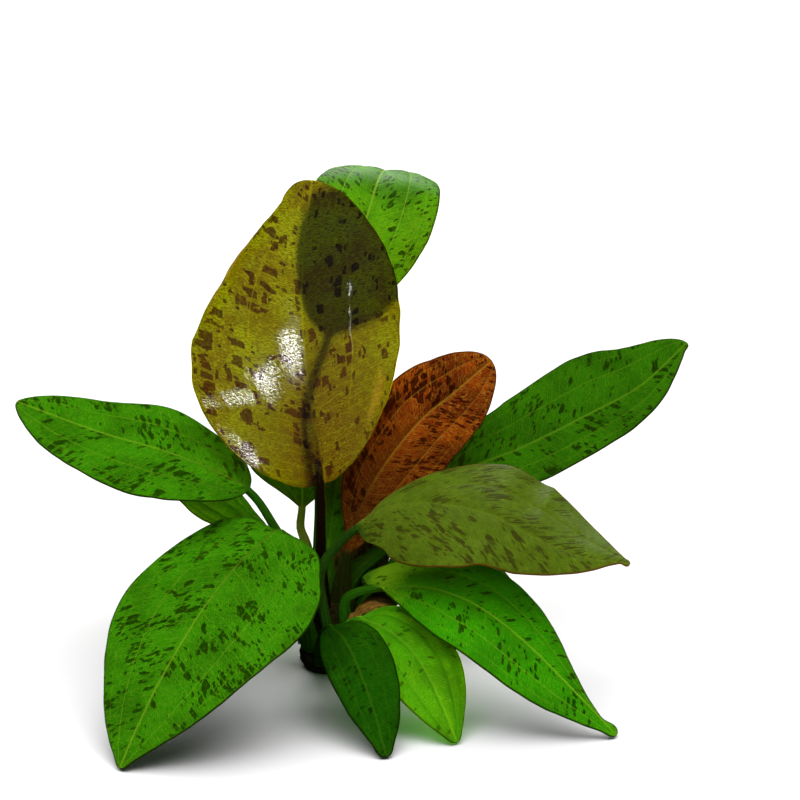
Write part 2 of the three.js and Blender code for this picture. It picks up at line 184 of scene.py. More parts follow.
def leaf(
    name, stalk, rib, left, right, side, fold, curl, wave,
    blunt=(3.0, 3.0), lobes=(0.0, 0.0), notch=0.15, roll=0.0, pucker=0.35, quilt=0.4,
    flare=(0.0, 0.0), groove=1.0, ribs=1.0, foot=(1.0, 32), seed=0, fine=1.0,
):
    """A leaf as one closed skin: a sheet rolled round its stalk and flattened into its blade.

    All lengths are in mm, and a pair is for the left and the right half. stalk and rib are the
    points of its curve. left and right are for half_width, and side is the way to the right half
    at the base and at the tip. fold lifts the margins and curl bends them down, by shares of the
    half width, and wave is the waves' height, number and start. blunt rounds the tip, lobes hang
    below the base, notch nicks the margin, and roll bends the upper left margin back. pucker and
    quilt raise the face between the veins, and flare raises the margin at the base. groove and
    ribs strengthen the veins, and foot is how much thicker the stalk's foot is and over what
    length. seed makes the leaf differ from the others, and fine is the share of its rows and
    columns that it has.
    """
    cells = [max(3, round(n * fine)) for n in CELLS_BETWEEN_VEINS]
    stalk_rows, blade_rows = round(STALK_ROWS * fine), round(BLADE_ROWS * fine)
    blade_columns = columns_across(cells)
    half_round = len(blade_columns) - 1
    rows = stalk_rows + blade_rows
    piece, row, turn = flat_grid(name, 2 * half_round, rows)
    is_stalk = row < stalk_rows

    # how far along: the stalk evenly, the blade with closer rows at its base and tip
    even = 0.4
    path, heading, length, at_joint = spine(stalk + rib, len(stalk) - 1)
    blade_length = length[-1] - at_joint
    t = ramp(row, stalk_rows, blade_rows)
    s = even * t + (1 - even) * (1 - np.cos(np.pi * t)) / 2
    along = np.where(is_stalk, at_joint * row / stalk_rows, at_joint + blade_length * s)
    on_stalk = np.clip(along / at_joint, 0, 1)
    point = np.stack([np.interp(along, length, path[:, k]) for k in range(3)], 1)
    ahead = np.stack([np.interp(along, length, heading[:, k]) for k in range(3)], 1)
    ahead /= np.linalg.norm(ahead, axis=1)[:, None]
    first, last = (np.array(v, float) for v in side)
    out = first + (last - first) * s[:, None]
    out -= ahead * np.sum(out * ahead, axis=1)[:, None]
    out /= np.linalg.norm(out, axis=1)[:, None]
    up = np.cross(out, ahead)

    # round the leaf: over its upper face to the right margin, and back under it
    flattening = 1 / 12
    over = turn <= half_round
    step = np.where(over, turn, 2 * half_round - turn)
    spread = np.clip(s / flattening, 0, 1)
    spread = spread * spread * (3 - 2 * spread)
    around = np.pi * step / half_round
    column = -np.cos(around) * (1 - spread) + blade_columns[step] * spread
    outward = np.abs(column)
    sign = np.where(over, 1.0, -1.0)

    def by_half(pair):
        return np.where(column < 0, pair[0], pair[1])

    # its outline: each half's own curve, a rounded tip and nicks in the margin
    tip_fade, nicks_a_mm, nicks_start = 1.5, (0.31, 0.27), 1 / 8
    long = blade_length / MM
    rounding = by_half(blunt)
    to_tip = (1 - s) * long / rounding
    beyond_tip = bump(np.maximum(to_tip - 1, 0), tip_fade)
    rounded = rounding * MM * dome(np.clip(to_tip, 0, 1)) * beyond_tip
    blade = (by_half((half_width(s, *left), half_width(s, *right))) ** 4 + rounded**4) ** 0.25
    uneven = notch * MM * nicks(by_half(nicks_a_mm) * s * long, seed)
    blade = np.where(is_stalk, 0, blade + uneven * np.clip(to_tip * s / nicks_start, 0, 1))
    thinning = STALK_FOOT + (STALK_TOP - STALK_FOOT) * on_stalk
    rod = np.where(is_stalk, thinning, STALK_TOP + (RIB_TIP - STALK_TOP) * s)
    half = np.maximum(rod, blade)
    across = column * half

    # the lobes of its base hang below the joint, away from the stalk
    lobe_share, lobe_gap = 0.15, 4 * MM
    hanging = by_half(lobes) * MM * np.clip(1 - s / lobe_share, 0, 1) ** 2
    drop = np.where(is_stalk, 0, hanging * (1 - np.exp(-np.abs(across) / lobe_gap)))

    # the blade's form: folded along the midrib, curled at the margins and waved
    fold_rounding = 0.02
    full = np.clip(blade / (by_half((left[0], right[0])) * MM), 0, 1)
    folded = np.sqrt(outward**2 + fold_rounding) - fold_rounding**0.5
    lift = np.where(blade > rod, half * (fold * folded - curl * outward**2), 0)
    height, waves, start = wave
    right_half_later = by_half((0, 2.0))
    ripple = np.sin(2 * np.pi * waves * s + start + right_half_later)
    lift += height * MM * outward**2 * ripple * full

    # puckers and swellings between the veins, and the margins flared at the base
    swelling, outer_swelling, flare_share = 1.2, 0.6, 0.16
    mm_across, mm_along = across / MM, (along - at_joint) / MM
    off_veins = np.clip(np.minimum(outward, 1 - outward) * 4 * full * spread, 0, 1)
    lift += pucker / 2 * MM * off_veins * puckers(mm_across, mm_along, seed)
    inner = np.sin(np.pi * np.clip(outward / SIDE_VEIN, 0, 1)) ** swelling
    outer_half = np.sin(np.pi * ramp(outward, SIDE_VEIN, 1 - SIDE_VEIN)) ** swelling
    lift += quilt * MM * full * spread * (inner + outer_swelling * outer_half)
    lift += by_half(flare) * MM * outward**2 * spread * bump(s, flare_share)

    # the left margin, rolled back from halfway up to the tip
    roll_width, roll_start, roll_end, tuck = 0.3, 0.15, 0.08, 0.12
    rolled = by_half((ramp(outward, 1 - roll_width, roll_width) ** 2, 0))
    rolled = rolled * ramp(s, 0.5, roll_start) * np.clip((1 - s) / roll_end, 0, 1)
    lift -= roll * MM * rolled
    across = across * (1 - tuck * rolled * (roll > 0))

    # its faces: grooved over the veins, with the ribs standing out below, by heights and widths
    to_mid = np.abs(across)
    to_side_vein = np.abs(outward - SIDE_VEIN) * half
    to_outer_vein = np.abs(outward - OUTER_VEIN) * half
    to_margin = (1 - outward) * half
    round_edge = 0.45 * MM
    thick = BLADE_THICKNESS / 2 * dome(np.clip(to_margin / round_edge, 0, 1))
    grooves = ((to_mid, 0.3, 0.9), (to_side_vein, 0.2, 0.7), (to_outer_vein, 0.1, 0.6))
    furrow = sum(deep * MM * bump(away, wide * MM) for away, deep, wide in grooves)
    ridges = ((to_side_vein, 0.35, 0.8), (to_outer_vein, 0.2, 0.6))
    ridge = sum(high * MM * bump(away, wide * MM) for away, high, wide in ridges)
    ridge += rod * bump(to_mid, rod * 0.9)
    upper_face = thick - groove * furrow * full
    lower_face = -thick - ribs * ridge * np.clip(to_margin / MM, 0, 1)
    face = np.where(over, upper_face, lower_face)

    # its stalk: fluted, oval near its foot, and broader there where it clasps the crown
    flutes, flute_depth, oval, clasp = 9, 0.05, 0.08, 1.2
    fluted = 1 + flute_depth * np.cos(flutes * around) + oval * np.cos(2 * around) * (1 - on_stalk)
    round_stalk = sign * rod * np.sqrt(np.clip(1 - (across / rod) ** 2, 0, 1)) * fluted
    off_stalk = ramp(to_mid / rod, 0.6, 0.8)
    broader, over_length = foot
    sheath = 1 + broader * np.clip(1 - along / (over_length * MM), 0, 1) ** clasp
    across = across * (1 + (fluted * sheath - 1) * (1 - spread))
    raised = lift + face * spread + (round_stalk + sign * thick * off_stalk) * (1 - spread)

    co = point + out * across[:, None] + up * raised[:, None] - ahead * drop[:, None]
    tip = row == rows
    co[tip] = co[tip].mean(axis=0)
    co[:, 2] = np.maximum(co[:, 2], LOWEST)
    piece.data.vertices.foreach_set("co", co.ravel())

    # its rulers, with the leaves set apart so that no two have the same pattern
    edge, apart = 0.999, 300
    distances = [away / MM for away in (to_mid, to_side_vein, to_outer_vein, to_margin)]
    below = np.where(over & (outward < edge), 0.0, 1.0)
    ruler = [mm_across + apart * seed, mm_along]
    keep_rulers(piece, distances, below, ruler, [column, np.where(is_stalk, on_stalk - 1, s)])
    close_skin(piece)
    return piece


class Nodes:
    """A material being wired: each call adds one node and links what it is given."""

    def __init__(self, name):
        self.material = bpy.data.materials.new(name)
        self.material.use_nodes = True
        self.tree = self.material.node_tree
        self.shader = self.tree.nodes["Principled BSDF"]

    def put(self, socket, value):
        if isinstance(value, bpy.types.NodeSocket):
            self.tree.links.new(value, socket)
        else:
            socket.default_value = value

    def add(self, kind, inputs=(), **settings):
        node = self.tree.nodes.new(kind)
        for key, value in settings.items():
            setattr(node, key, value)
        for key, value in dict(inputs).items():
            self.put(node.inputs[key], value)
        return node

    def maths(self, operation, a, b=0.0, c=0.0):
        return self.add("ShaderNodeMath", {0: a, 1: b, 2: c}, operation=operation).outputs[0]

    def times(self, a, b):
        return self.maths("MULTIPLY", a, b)

    def times_plus(self, a, b, c):
        """a times b, plus c."""
        return self.maths("MULTIPLY_ADD", a, b, c)

    def most(self, values):
        """The highest of some values."""
        highest = values[0]
        for value in values[1:]:
            highest = self.maths("MAXIMUM", highest, value)
        return highest

    def fade(self, value, full, none):
        """1 where value is at full, 0 where it is at none, smooth between."""
        at_low, at_high = (1.0, 0.0) if full < none else (0.0, 1.0)
        inputs = {
            "Value": value,
            "From Min": min(full, none),
            "From Max": max(full, none),
            "To Min": at_low,
            "To Max": at_high,
        }
        return self.add("ShaderNodeMapRange", inputs, interpolation_type="SMOOTHSTEP").outputs[0]

    def blend(self, share, a, b):
        """From a at share 0 to b at share 1."""
        node = self.add("ShaderNodeMix", data_type="RGBA")
        self.put(node.inputs["Factor"], share)
        self.put(node.inputs[6], a)
        self.put(node.inputs[7], b)
        return node.outputs[2]

    def plane(self, x, y):
        return self.add("ShaderNodeCombineXYZ", {"X": x, "Y": y}).outputs[0]

    def noise(self, place, scale, detail=2.0):
        node = self.add("ShaderNodeTexNoise", {"Vector": place, "Scale": scale, "Detail": detail})
        return node.outputs["Fac"]

    def uv(self, name):
        """The two numbers that one of the piece's own maps holds."""
        place = self.add("ShaderNodeUVMap", uv_map=name).outputs[0]
        return self.add("ShaderNodeSeparateXYZ", {0: place}).outputs[:2]

    def relief(self, height, depth, strength=1.0, socket="Normal"):
        """Raises the surface by up to a depth in metres."""
        inputs = {"Height": height, "Strength": strength, "Distance": depth}
        self.put(self.shader.inputs[socket], self.add("ShaderNodeBump", inputs).outputs[0])


def colour(r, g, b):
    """A colour given as it looks on a screen, from 0 to 255."""
    def linear(v):
        v /= 255
        return v / 12.92 if v <= 0.04045 else ((v + 0.055) / 1.055) ** 2.4
    return (linear(r), linear(g), linear(b), 1.0)


class LeafNodes(Nodes):
    """The nodes of a leaf's skin, which follow the leaf's rulers, in mm and in shares of it.

    The values say how many clouds, crowds and so on there are to a mm.
    """

    CLOUDS = 0.055
    CROWDS = 0.075
    CLUMPS = 0.3
    RAGS = 0.9
    VEIN_WANDER = 0.12
    CROSS_VEINS = 0.26

    def __init__(self, name, slope):
        """The cross veins run out and forward from the midrib, by the slope, and wander a few mm."""
        wander_by = 4.0
        super().__init__(name)
        self.x, self.y = self.uv("ruler")
        self.column, self.s = self.uv("shares")
        marks = self.add("ShaderNodeAttribute", attribute_name="veins")
        split = self.add("ShaderNodeSeparateColor", {0: marks.outputs["Color"]})
        self.mid, self.side_vein, self.outer_vein = split.outputs[:3]
        self.margin = marks.outputs["Alpha"]
        self.place = self.plane(self.x, self.y)
        wander = self.noise(self.place, self.VEIN_WANDER)
        straight = self.times_plus(self.mid, -slope, self.y)
        self.slanted = self.times_plus(wander, wander_by, straight)
        self.cloud = self.noise(self.place, self.CLOUDS, 3.0)
        self.grain = self.noise(self.stretched(0.7, 2.2), 1.0, 4.0)
        self.ragged = self.noise(self.place, self.RAGS)
        self.crowd = self.noise(self.place, self.CROWDS, 1.0)
        self.cross_veins = self.along_cross_veins()
        self.net = self.net_between()

    def stretched(self, across, along):
        return self.plane(self.times(self.x, across), self.times(self.slanted, along))

    def along_cross_veins(self):
        """1 on the cross veins, which start anew at each side vein."""
        anew = 37.0
        beyond = self.maths("GREATER_THAN", self.maths("ABSOLUTE", self.column), SIDE_VEIN)
        stepped = self.times_plus(beyond, anew, self.slanted)
        settings = {"voronoi_dimensions": "1D", "feature": "DISTANCE_TO_EDGE"}
        inputs = {"W": stepped, "Scale": self.CROSS_VEINS}
        rung = self.add("ShaderNodeTexVoronoi", inputs, **settings)
        return self.fade(rung.outputs["Distance"], 0.0, 0.045)

    def net_between(self):
        """1 on the finest veins, a net with meshes of about 1 mm."""
        settings = {"voronoi_dimensions": "2D", "feature": "DISTANCE_TO_EDGE"}
        inputs = {"Vector": self.stretched(0.75, 1.1), "Scale": 1.0}
        mesh = self.add("ShaderNodeTexVoronoi", inputs, **settings)
        return self.fade(mesh.outputs["Distance"], 0.0, 0.14)

    def flesh(self, flesh, deep, streaky, grainy):
        """Cloudy, streaked and grainy along the cross veins."""
        body = self.blend(self.fade(self.cloud, 0.64, 0.4), flesh, deep)
        streaks = self.noise(self.stretched(0.35, 2.4), 1.0)
        body = self.blend(self.times(self.fade(streaks, 0.7, 0.42), streaky), body, deep)
        return self.blend(self.times(self.fade(self.grain, 0.6, 0.46), grainy), body, deep)

    def at_base(self, reach, lean):
        """1 at the blade's base, which reaches up beside the midrib, with a torn outline."""
        centre, trunk = 0.25, 0.2
        torn = self.times_plus(self.grain, 0.5, self.maths("ADD", self.s, -0.25))
        torn = self.times_plus(self.cloud, 0.3, torn)
        off_centre = self.maths("ABSOLUTE", self.maths("SUBTRACT", self.column, centre))
        beside = self.maths("MAXIMUM", self.maths("SUBTRACT", off_centre, trunk), 0.0)
        return self.fade(self.times_plus(beside, lean, torn), *reach)

    def speckled(self, body, light, dark, grainy):
        """Light grains in clumps, and dark ones between the clumps."""
        clumps = self.fade(self.noise(self.place, self.CLUMPS, 3.0), 0.62, 0.36)
        lights = self.times_plus(clumps, grainy * 0.6, 0.1)
        darks = self.times_plus(clumps, -grainy * 0.24, grainy * 0.34)
        body = self.blend(self.times(self.fade(self.grain, 0.38, 0.54), lights), body, light)
        return self.blend(self.times(self.fade(self.grain, 0.64, 0.48), darks), body, dark)

    def spots(self, across, along, share, fill, half, shift):
        """1 on blocks of so many mm, which lie along the cross veins, in crowds.

        A share of the blocks shows, and each fills so much of its place. They are on the left
        half (-1), the right half (1) or both (0), and each layer has a shift of its own.
        """
        tear = 0.9
        from_left = self.times_plus(self.x, 1 / across, shift)
        from_base = self.times(self.slanted, 1 / along)
        cell = self.plane(
            self.times_plus(self.ragged, tear / across, from_left),
            self.times_plus(self.ragged, tear / along, from_base),
        )
        settings = {"voronoi_dimensions": "2D", "distance": "CHEBYCHEV"}
        inputs = {"Vector": cell, "Scale": 1.0, "Randomness": 0.85}
        grid = self.add("ShaderNodeTexVoronoi", inputs, **settings)
        draw = self.add("ShaderNodeSeparateColor", {0: grid.outputs["Color"]})
        limit = self.times(self.fade(self.crowd, 0.62, 0.38), 2.2 * share)
        if half:
            limit = self.times(limit, self.fade(self.times(self.column, half), 0.1, -0.1))
        chosen = self.maths("LESS_THAN", draw.outputs[0], limit)
        size = self.times_plus(draw.outputs[1], fill * 0.5, fill * 0.6)
        inside = self.fade(self.maths("SUBTRACT", size, grid.outputs["Distance"]), 0.04, 0.0)
        return self.times(chosen, inside)

    def spotted(self, layers):
        """All layers of spots, none on the stalk or the margin, and faint where ragged."""
        blocks = self.most([self.spots(*layer) for layer in layers])
        blocks = self.times(blocks, self.fade(self.s, 0.03, 0.0))
        blocks = self.times(blocks, self.fade(self.margin, 1.2, 0.4))
        return self.times(blocks, self.times_plus(self.ragged, 0.6, 0.6))

    def patch(self, column, s, wide, long):
        """1 on an oval patch with a torn outline, so wide and so long to each side of its middle."""
        from_column = self.times_plus(self.column, 1 / wide, -column / wide)
        from_s = self.times_plus(self.s, 1 / long, -s / long)
        squares = self.times_plus(from_column, from_column, self.times(from_s, from_s))
        away = self.times_plus(self.ragged, 1.2, self.maths("SQRT", squares))
        return self.fade(self.times_plus(self.grain, 2.4, away), 1.9, 3.1)

    def veined(self, body, rib, edge, veins):
        """The midrib, the side veins and the thin dark margin."""
        body = self.blend(self.times(self.fade(self.mid, 0.2, 0.7), 0.85 * veins), body, rib)
        body = self.blend(self.times(self.fade(self.side_vein, 0.05, 0.4), 0.6 * veins), body, rib)
        body = self.blend(self.times(self.fade(self.outer_vein, 0.05, 0.3), 0.35 * veins), body, rib)
        return self.blend(self.times(self.fade(self.margin, 0.35, 0.85), 0.9), body, edge)

    def stalked(self, body, light, dark):
        """The stalk's skin, with fine streaks along it, below the blade's."""
        streaks = self.noise(self.plane(self.times(self.x, 6.0), self.y), 0.4, 3.0)
        return self.blend(self.fade(self.s, 0.04, -0.005), self.blend(streaks, light, dark), body)

    def wetted(self, wet, fine):
        """A clear coat on the wet patches, broken up into threads."""
        patches = self.most([self.patch(*place) for place in wet])
        threads = self.times_plus(fine, 0.7, self.times(self.grain, 0.6))
        coat = self.times(patches, self.fade(threads, 0.56, 0.72))
        self.put(self.shader.inputs["Coat Weight"], coat)
        self.shader.inputs["Coat Roughness"].default_value = 0.12
        self.relief(self.grain, 0.02 * MM, socket="Coat Normal")


def leaf_skin(
    name, flesh, deep, spot, vein, edge, stalk, spots, base=None, base_vein=None, reach=(0.12, 0.7),
    lean=0.0, slope=0.62, streaky=0.35, grainy=0.5, veins=1.0, veinlets=0.5, pale=(), painted_sheen_colour=None,
    wet=(), gloss=0.3, shine=0.35, relief_height=0.12, through=0.85,
):
    """A spotted leaf that lets light through, by its colours and by how strong each mark is.

    spots, pale and wet are lists of what LeafNodes.spots and LeafNodes.patch take, pale's strips
    being painted sheen, and base is the colour at the blade's base, as far as reach and lean say.
    """
    n = LeafNodes(name, slope)
    body = n.flesh(flesh, deep, streaky, grainy)
    light_grain = vein
    if base is not None:
        at_base = n.at_base(reach, lean)
        body = n.blend(at_base, body, base)
        light_grain = n.blend(n.times(at_base, 0.55), vein, base)
    body = n.speckled(body, light_grain, spot, grainy)
    body = n.blend(n.times(n.net, 0.25 * veinlets), body, vein)
    body = n.blend(n.times(n.cross_veins, 0.5 * veinlets), body, vein)
    body = n.blend(n.spotted(spots), body, spot)
    # Painted sheen: pale strips where the curled margins would shine.
    for sheen_strip in pale:
        body = n.blend(n.times(n.patch(*sheen_strip), 0.4), body, painted_sheen_colour)
    rib = vein
    if base_vein is not None:
        rib = n.blend(n.fade(n.s, 0.05, 0.55), vein, base_vein)
    body = n.stalked(n.veined(body, rib, edge, veins), *stalk)
    n.put(n.shader.inputs["Base Color"], body)

    fine = n.noise(n.stretched(2.2, 2.2), 1.0, 3.0)
    if wet:
        n.wetted(wet, fine)
    n.put(n.shader.inputs["Roughness"], n.times_plus(fine, 0.12, gloss))
    sunk = n.times_plus(n.net, -0.35, n.times(fine, 0.5))
    n.relief(n.times_plus(n.cross_veins, -0.35, sunk), relief_height * MM)
    n.shader.inputs["Specular IOR Level"].default_value = shine
    n.shader.inputs["Subsurface Weight"].default_value = through
    n.shader.inputs["Subsurface Radius"].default_value = (1.0, 1.0, 0.4)
    n.shader.inputs["Subsurface Scale"].default_value = 2 * MM
    return n.material


def attach(piece, skin):
    """Gives a piece its skin, and lets it stand for the CAD node of its name."""
    piece.data.materials.clear()
    piece.data.materials.append(skin)
    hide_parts(piece.name.removesuffix("_skin"))
    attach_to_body(piece, "root")


olive_skin = leaf_skin(
    "tall_leaf_skin",
    flesh=colour(138, 150, 4),
    deep=colour(98, 68, 1),
    spot=colour(38, 9, 1),
    vein=colour(158, 152, 10),
    edge=colour(34, 30, 6),
    stalk=(colour(66, 36, 8), colour(44, 22, 4)),
    spots=(
        (6.4, 3.4, 0.22, 0.5, -1, 0.3),
        (2.6, 1.8, 0.1, 0.46, -1, 5.1),
        (3.4, 4.6, 0.1, 0.48, 1, 9.7),
        (1.6, 3.4, 0.1, 0.46, 1, 2.2),
    ),
    # The red-brown base, which reaches up right of the midrib, is partly the leaf's own colour and
    # partly painted shade.
    base=colour(84, 40, 2),
    base_vein=colour(58, 26, 4),
    reach=(0.38, 0.9),
    lean=0.5,
    slope=0.34,
    streaky=0.85,
    grainy=0.9,
    veins=0.4,
    veinlets=0.7,
    # Painted sheen on the curled margins: a pale strip low on the right margin and one along the
    # rolled upper left margin.
    pale=((0.84, 0.26, 0.07, 0.1), (-0.93, 0.74, 0.07, 0.16)),
    painted_sheen_colour=colour(190, 140, 90),
    wet=(
        (-0.12, 0.45, 0.1, 0.11),
        (-0.38, 0.36, 0.13, 0.07),
        (-0.7, 0.31, 0.36, 0.025),
        (-0.9, 0.12, 0.14, 0.08),
        (0.5, 0.57, 0.025, 0.11),
    ),
    gloss=0.45,
    shine=0.03,
    relief_height=0.04,
)
leaf_tall = leaf(
    "leaf_tall_skin",
    stalk=[[-3, -4, 18], [-3, -6, 45], [-3, -5, 79]],
    rib=[[-6, -1, 105], [-9, 7, 131], [-10, 14, 148], [-9, 22, 169], [-6, 30, 191]],
    left=(44.5, 0.4, 0.6, 1.1),
    right=(38, 0.56, 0.66, 0.55),
    side=((1, 0, 0), (1, 0, 0)),
    fold=0.12,
    curl=0.12,
    wave=(1, 2, 0.4),
    blunt=(11, 3),
    lobes=(3.5, 1.5),
    notch=0.3,
    roll=3,
    quilt=0.3,
    groove=0.4,
    ribs=0.15,
    flare=(5, 2),
    seed=1,
)
attach(leaf_tall, olive_skin)

# The green leaves behind: one arches back over the tall leaf's top, one stands on a thin pale
# stalk, and a narrow one stands between the tall leaf's stalk and the red leaf.
green_stalk = (colour(50, 112, 12), colour(32, 76, 6))
top_back_skin = leaf_skin(
    "top_back_leaf_skin",
    flesh=colour(72, 144, 6),
    deep=colour(52, 116, 3),
    spot=colour(32, 58, 2),
    vein=colour(126, 170, 34),
    edge=colour(30, 32, 4),
    stalk=green_stalk,
    spots=((3.6, 1.9, 0.16, 0.5, 0, 0.3), (1.8, 1.2, 0.13, 0.46, 0, 5.1)),
    grainy=0.35,
    veinlets=0.8,
    gloss=0.46,
    through=0.4,
)
leaf_top_back = leaf(
    "leaf_top_back_skin",
    stalk=[[-2, 9.5, 16], [-3.5, 17, 40], [-4.5, 23, 75], [-8, 28, 106], [1, 32, 135]],
    rib=[[9, 37, 156], [15, 45, 173], [19, 56, 184], [22, 73, 185], [25, 91, 176]],
    left=(25, 0.45, 0.5, 0.8),
    right=(26.5, 0.5, 0.75, 0.7),
    side=((1, 0, -0.1), (1, -0.1, -0.1)),
    fold=0.25,
    curl=0.3,
    wave=(1, 1.5, 0.8),
    foot=(1.3, 45),
    seed=2,
    fine=0.8,
)
attach(leaf_top_back, top_back_skin)
pale_stalk_skin = leaf_skin(
    "pale_stalked_leaf_skin",
    flesh=colour(34, 106, 4),
    deep=colour(24, 84, 2),
    spot=colour(20, 44, 2),
    vein=colour(90, 136, 20),
    edge=colour(50, 50, 14),
    stalk=(colour(140, 156, 60), colour(112, 134, 40)),
    spots=((2.6, 1.5, 0.12, 0.42, 0, 0.3),),
    gloss=0.35,
)
leaf_pale_stalk = leaf(
    "leaf_pale_stalk_skin",
    stalk=[[-5, 4, 18], [-7.5, 11, 31], [-9.5, 18, 44], [-12, 22, 50], [-11.5, 26, 56]],
    rib=[[-11.5, 32, 62], [-13, 46, 72], [-15, 64, 78], [-17, 84, 76]],
    left=(22, 0.45, 1.15, 0.8),
    right=(22, 0.45, 1.15, 0.8),
    side=((1, 0, 0), (1, 0, 0)),
    fold=0.1,
    curl=0.05,
    wave=(1, 2, 0),
    foot=(1.0, 34),
    seed=3,
    fine=0.7,
)
attach(leaf_pale_stalk, pale_stalk_skin)
plain_green_skin = leaf_skin(
    "plain_green_leaf_skin",
    flesh=colour(60, 138, 6),
    deep=colour(46, 112, 4),
    spot=colour(34, 72, 2),
    vein=colour(104, 156, 24),
    edge=colour(30, 40, 4),
    stalk=(colour(60, 124, 14), colour(40, 88, 8)),
    spots=((3.0, 1.8, 0.03, 0.46, 0, 0.3),),
    veins=0.5,
    veinlets=0.3,
    gloss=0.36,
)
leaf_upright = leaf(
    "leaf_upright_skin",
    stalk=[[0, 5, 20], [-1, 7, 34], [-0.5, 9, 45]],
    rib=[[1, 11, 58], [3, 14, 75], [6, 20, 97], [9, 28, 115]],
    left=(10, 0.6, 1, 0.8),
    right=(13, 0.5, 0.8, 0.8),
    side=((1, 0, 0), (1, 0, 0)),
    fold=0.1,
    curl=0,
    wave=(0.6, 2, 0),
    foot=(1.3, 40),
    seed=4,
    fine=0.7,
)
attach(leaf_upright, plain_green_skin)

# The red leaf: a young, rust-red blade with orange veins and dark maroon spots, folded a
# little along its midrib.
red_skin = leaf_skin(
    "red_leaf_skin",
    flesh=colour(208, 92, 12),
    deep=colour(132, 32, 6),
    spot=colour(60, 10, 4),
    vein=colour(220, 164, 48),
    edge=colour(88, 34, 10),
    stalk=(colour(48, 58, 12), colour(34, 40, 8)),
    spots=(
        (4.2, 2.8, 0.26, 0.5, -1, 0.3),
        (2.2, 1.5, 0.22, 0.46, -1, 5.1),
        (3.4, 1.1, 0.28, 0.48, 1, 2.1),
    ),
    # The darker maroon at the blade's base is partly the leaf's own colour and partly painted shade
    # on its lower part.
    base=colour(96, 28, 8),
    base_vein=colour(90, 44, 14),
    reach=(0.3, 0.85),
    streaky=0.6,
    grainy=0.7,
    veins=0.6,
    veinlets=0.8,
)
leaf_red = leaf(
    "leaf_red_skin",
    stalk=[[5, -2, 17], [5, 0, 32], [7, 3, 46]],
    rib=[[13, 5, 66], [20, 7, 79], [36, 11, 99], [50, 15, 110], [64, 20, 121]],
    left=(19.5, 0.62, 1.4, 0.55),
    right=(21, 0.55, 0.85, 0.55),
    side=((0.8, 0.1, -0.6), (0.8, 0.1, -0.6)),
    fold=0.15,
    curl=0.1,
    wave=(0.8, 2.5, 0),
    ribs=0.3,
    foot=(1.7, 45),
    seed=5,
    fine=0.8,
)
attach(leaf_red, red_skin)

# The leaves on the right: a long green one that reaches up and away, a dull olive one in front
# of it, and below them two green ones that hang down to the ground.
right_skin = leaf_skin(
    "right_leaf_skin",
    flesh=colour(46, 119, 3),
    deep=colour(31, 96, 2),
    spot=colour(27, 50, 2),
    vein=colour(106, 150, 24),
    edge=colour(28, 28, 4),
    stalk=(colour(44, 92, 10), colour(28, 60, 5)),
    spots=((4.6, 2.3, 0.14, 0.52, 0, 0.3), (2.2, 1.4, 0.11, 0.46, 0, 5.1)),
    grainy=0.35,
    veins=0.7,
    veinlets=0.8,
    gloss=0.32,
)
leaf_right = leaf(
    "leaf_right_skin",
    stalk=[[3.5, 3, 17], [5, 4.5, 29], [10.5, 8, 37.5], [19, 12, 43], [45, 26, 68]],
    rib=[[77, 28, 82], [103, 29, 95.5], [124, 31, 107], [142.7, 38, 122.8]],
    left=(26, 0.55, 0.6, 0.65),
    right=(18, 0.42, 0.5, 0.9),
    side=((0.45, -0.7, -0.5), (0.45, -0.7, -0.5)),
    fold=0.1,
    curl=0.1,
    wave=(1, 2, 0),
    blunt=(2, 2),
    foot=(1.3, 70),
    seed=6,
    fine=0.8,
)
attach(leaf_right, right_skin)
dull_skin = leaf_skin(
    "front_right_leaf_skin",
    # Its greyish, dull olive is partly the leaf's own colour and partly painted sheen.
    flesh=colour(84, 109, 18),
    deep=colour(70, 92, 12),
    spot=colour(54, 54, 11),
    vein=colour(106, 126, 30),
    edge=colour(90, 48, 14),
    stalk=(colour(40, 80, 14), colour(28, 58, 10)),
    spots=(
        (7.0, 1.2, 0.2, 0.48, -1, 0.3),
        (3.4, 1.0, 0.16, 0.46, -1, 5.1),
        (3.6, 3.0, 0.16, 0.5, 1, 9.7),
        (1.6, 1.6, 0.14, 0.46, 1, 2.2),
    ),
    slope=1.6,
    streaky=0.8,
    grainy=1.0,
    veins=0.45,
    veinlets=0.6,
    gloss=0.4,
)
leaf_front_right = leaf(
    "leaf_front_right_skin",
    stalk=[[0, -9, 15], [-3, -12, 44], [4, -15, 57], [12, -20, 66]],
    rib=[[21, -24, 75], [38, -31, 80], [62, -38, 78], [77, -42, 71], [96, -46, 64], [114, -50, 63]],
    left=(27, 0.6, 1.9, 1.1),
    right=(26, 0.36, 0.5, 1.6),
    side=((0.1, -0.8, -0.6), (0.1, -0.8, -0.6)),
    fold=0.05,
    curl=0.15,
    wave=(1.2, 2, 0),
    blunt=(1.5, 1.5),
    foot=(1.0, 40),
    seed=7,
    fine=0.9,
)
attach(leaf_front_right, dull_skin)
low_right_skin = leaf_skin(
    "low_right_leaf_skin",
    flesh=colour(46, 144, 2),
    deep=colour(34, 120, 2),
    spot=colour(24, 54, 2),
    vein=colour(104, 156, 22),
    edge=colour(24, 28, 4),
    stalk=green_stalk,
    spots=((4.2, 2.2, 0.08, 0.5, 0, 0.3), (2.0, 1.3, 0.08, 0.44, 0, 5.1)),
    # The lighter yellow-green base, lobe and all, is partly the leaf's own yellower colour and partly
    # painted light.
    base=colour(112, 160, 18),
    reach=(0.2, 0.3),
    gloss=0.32,
)
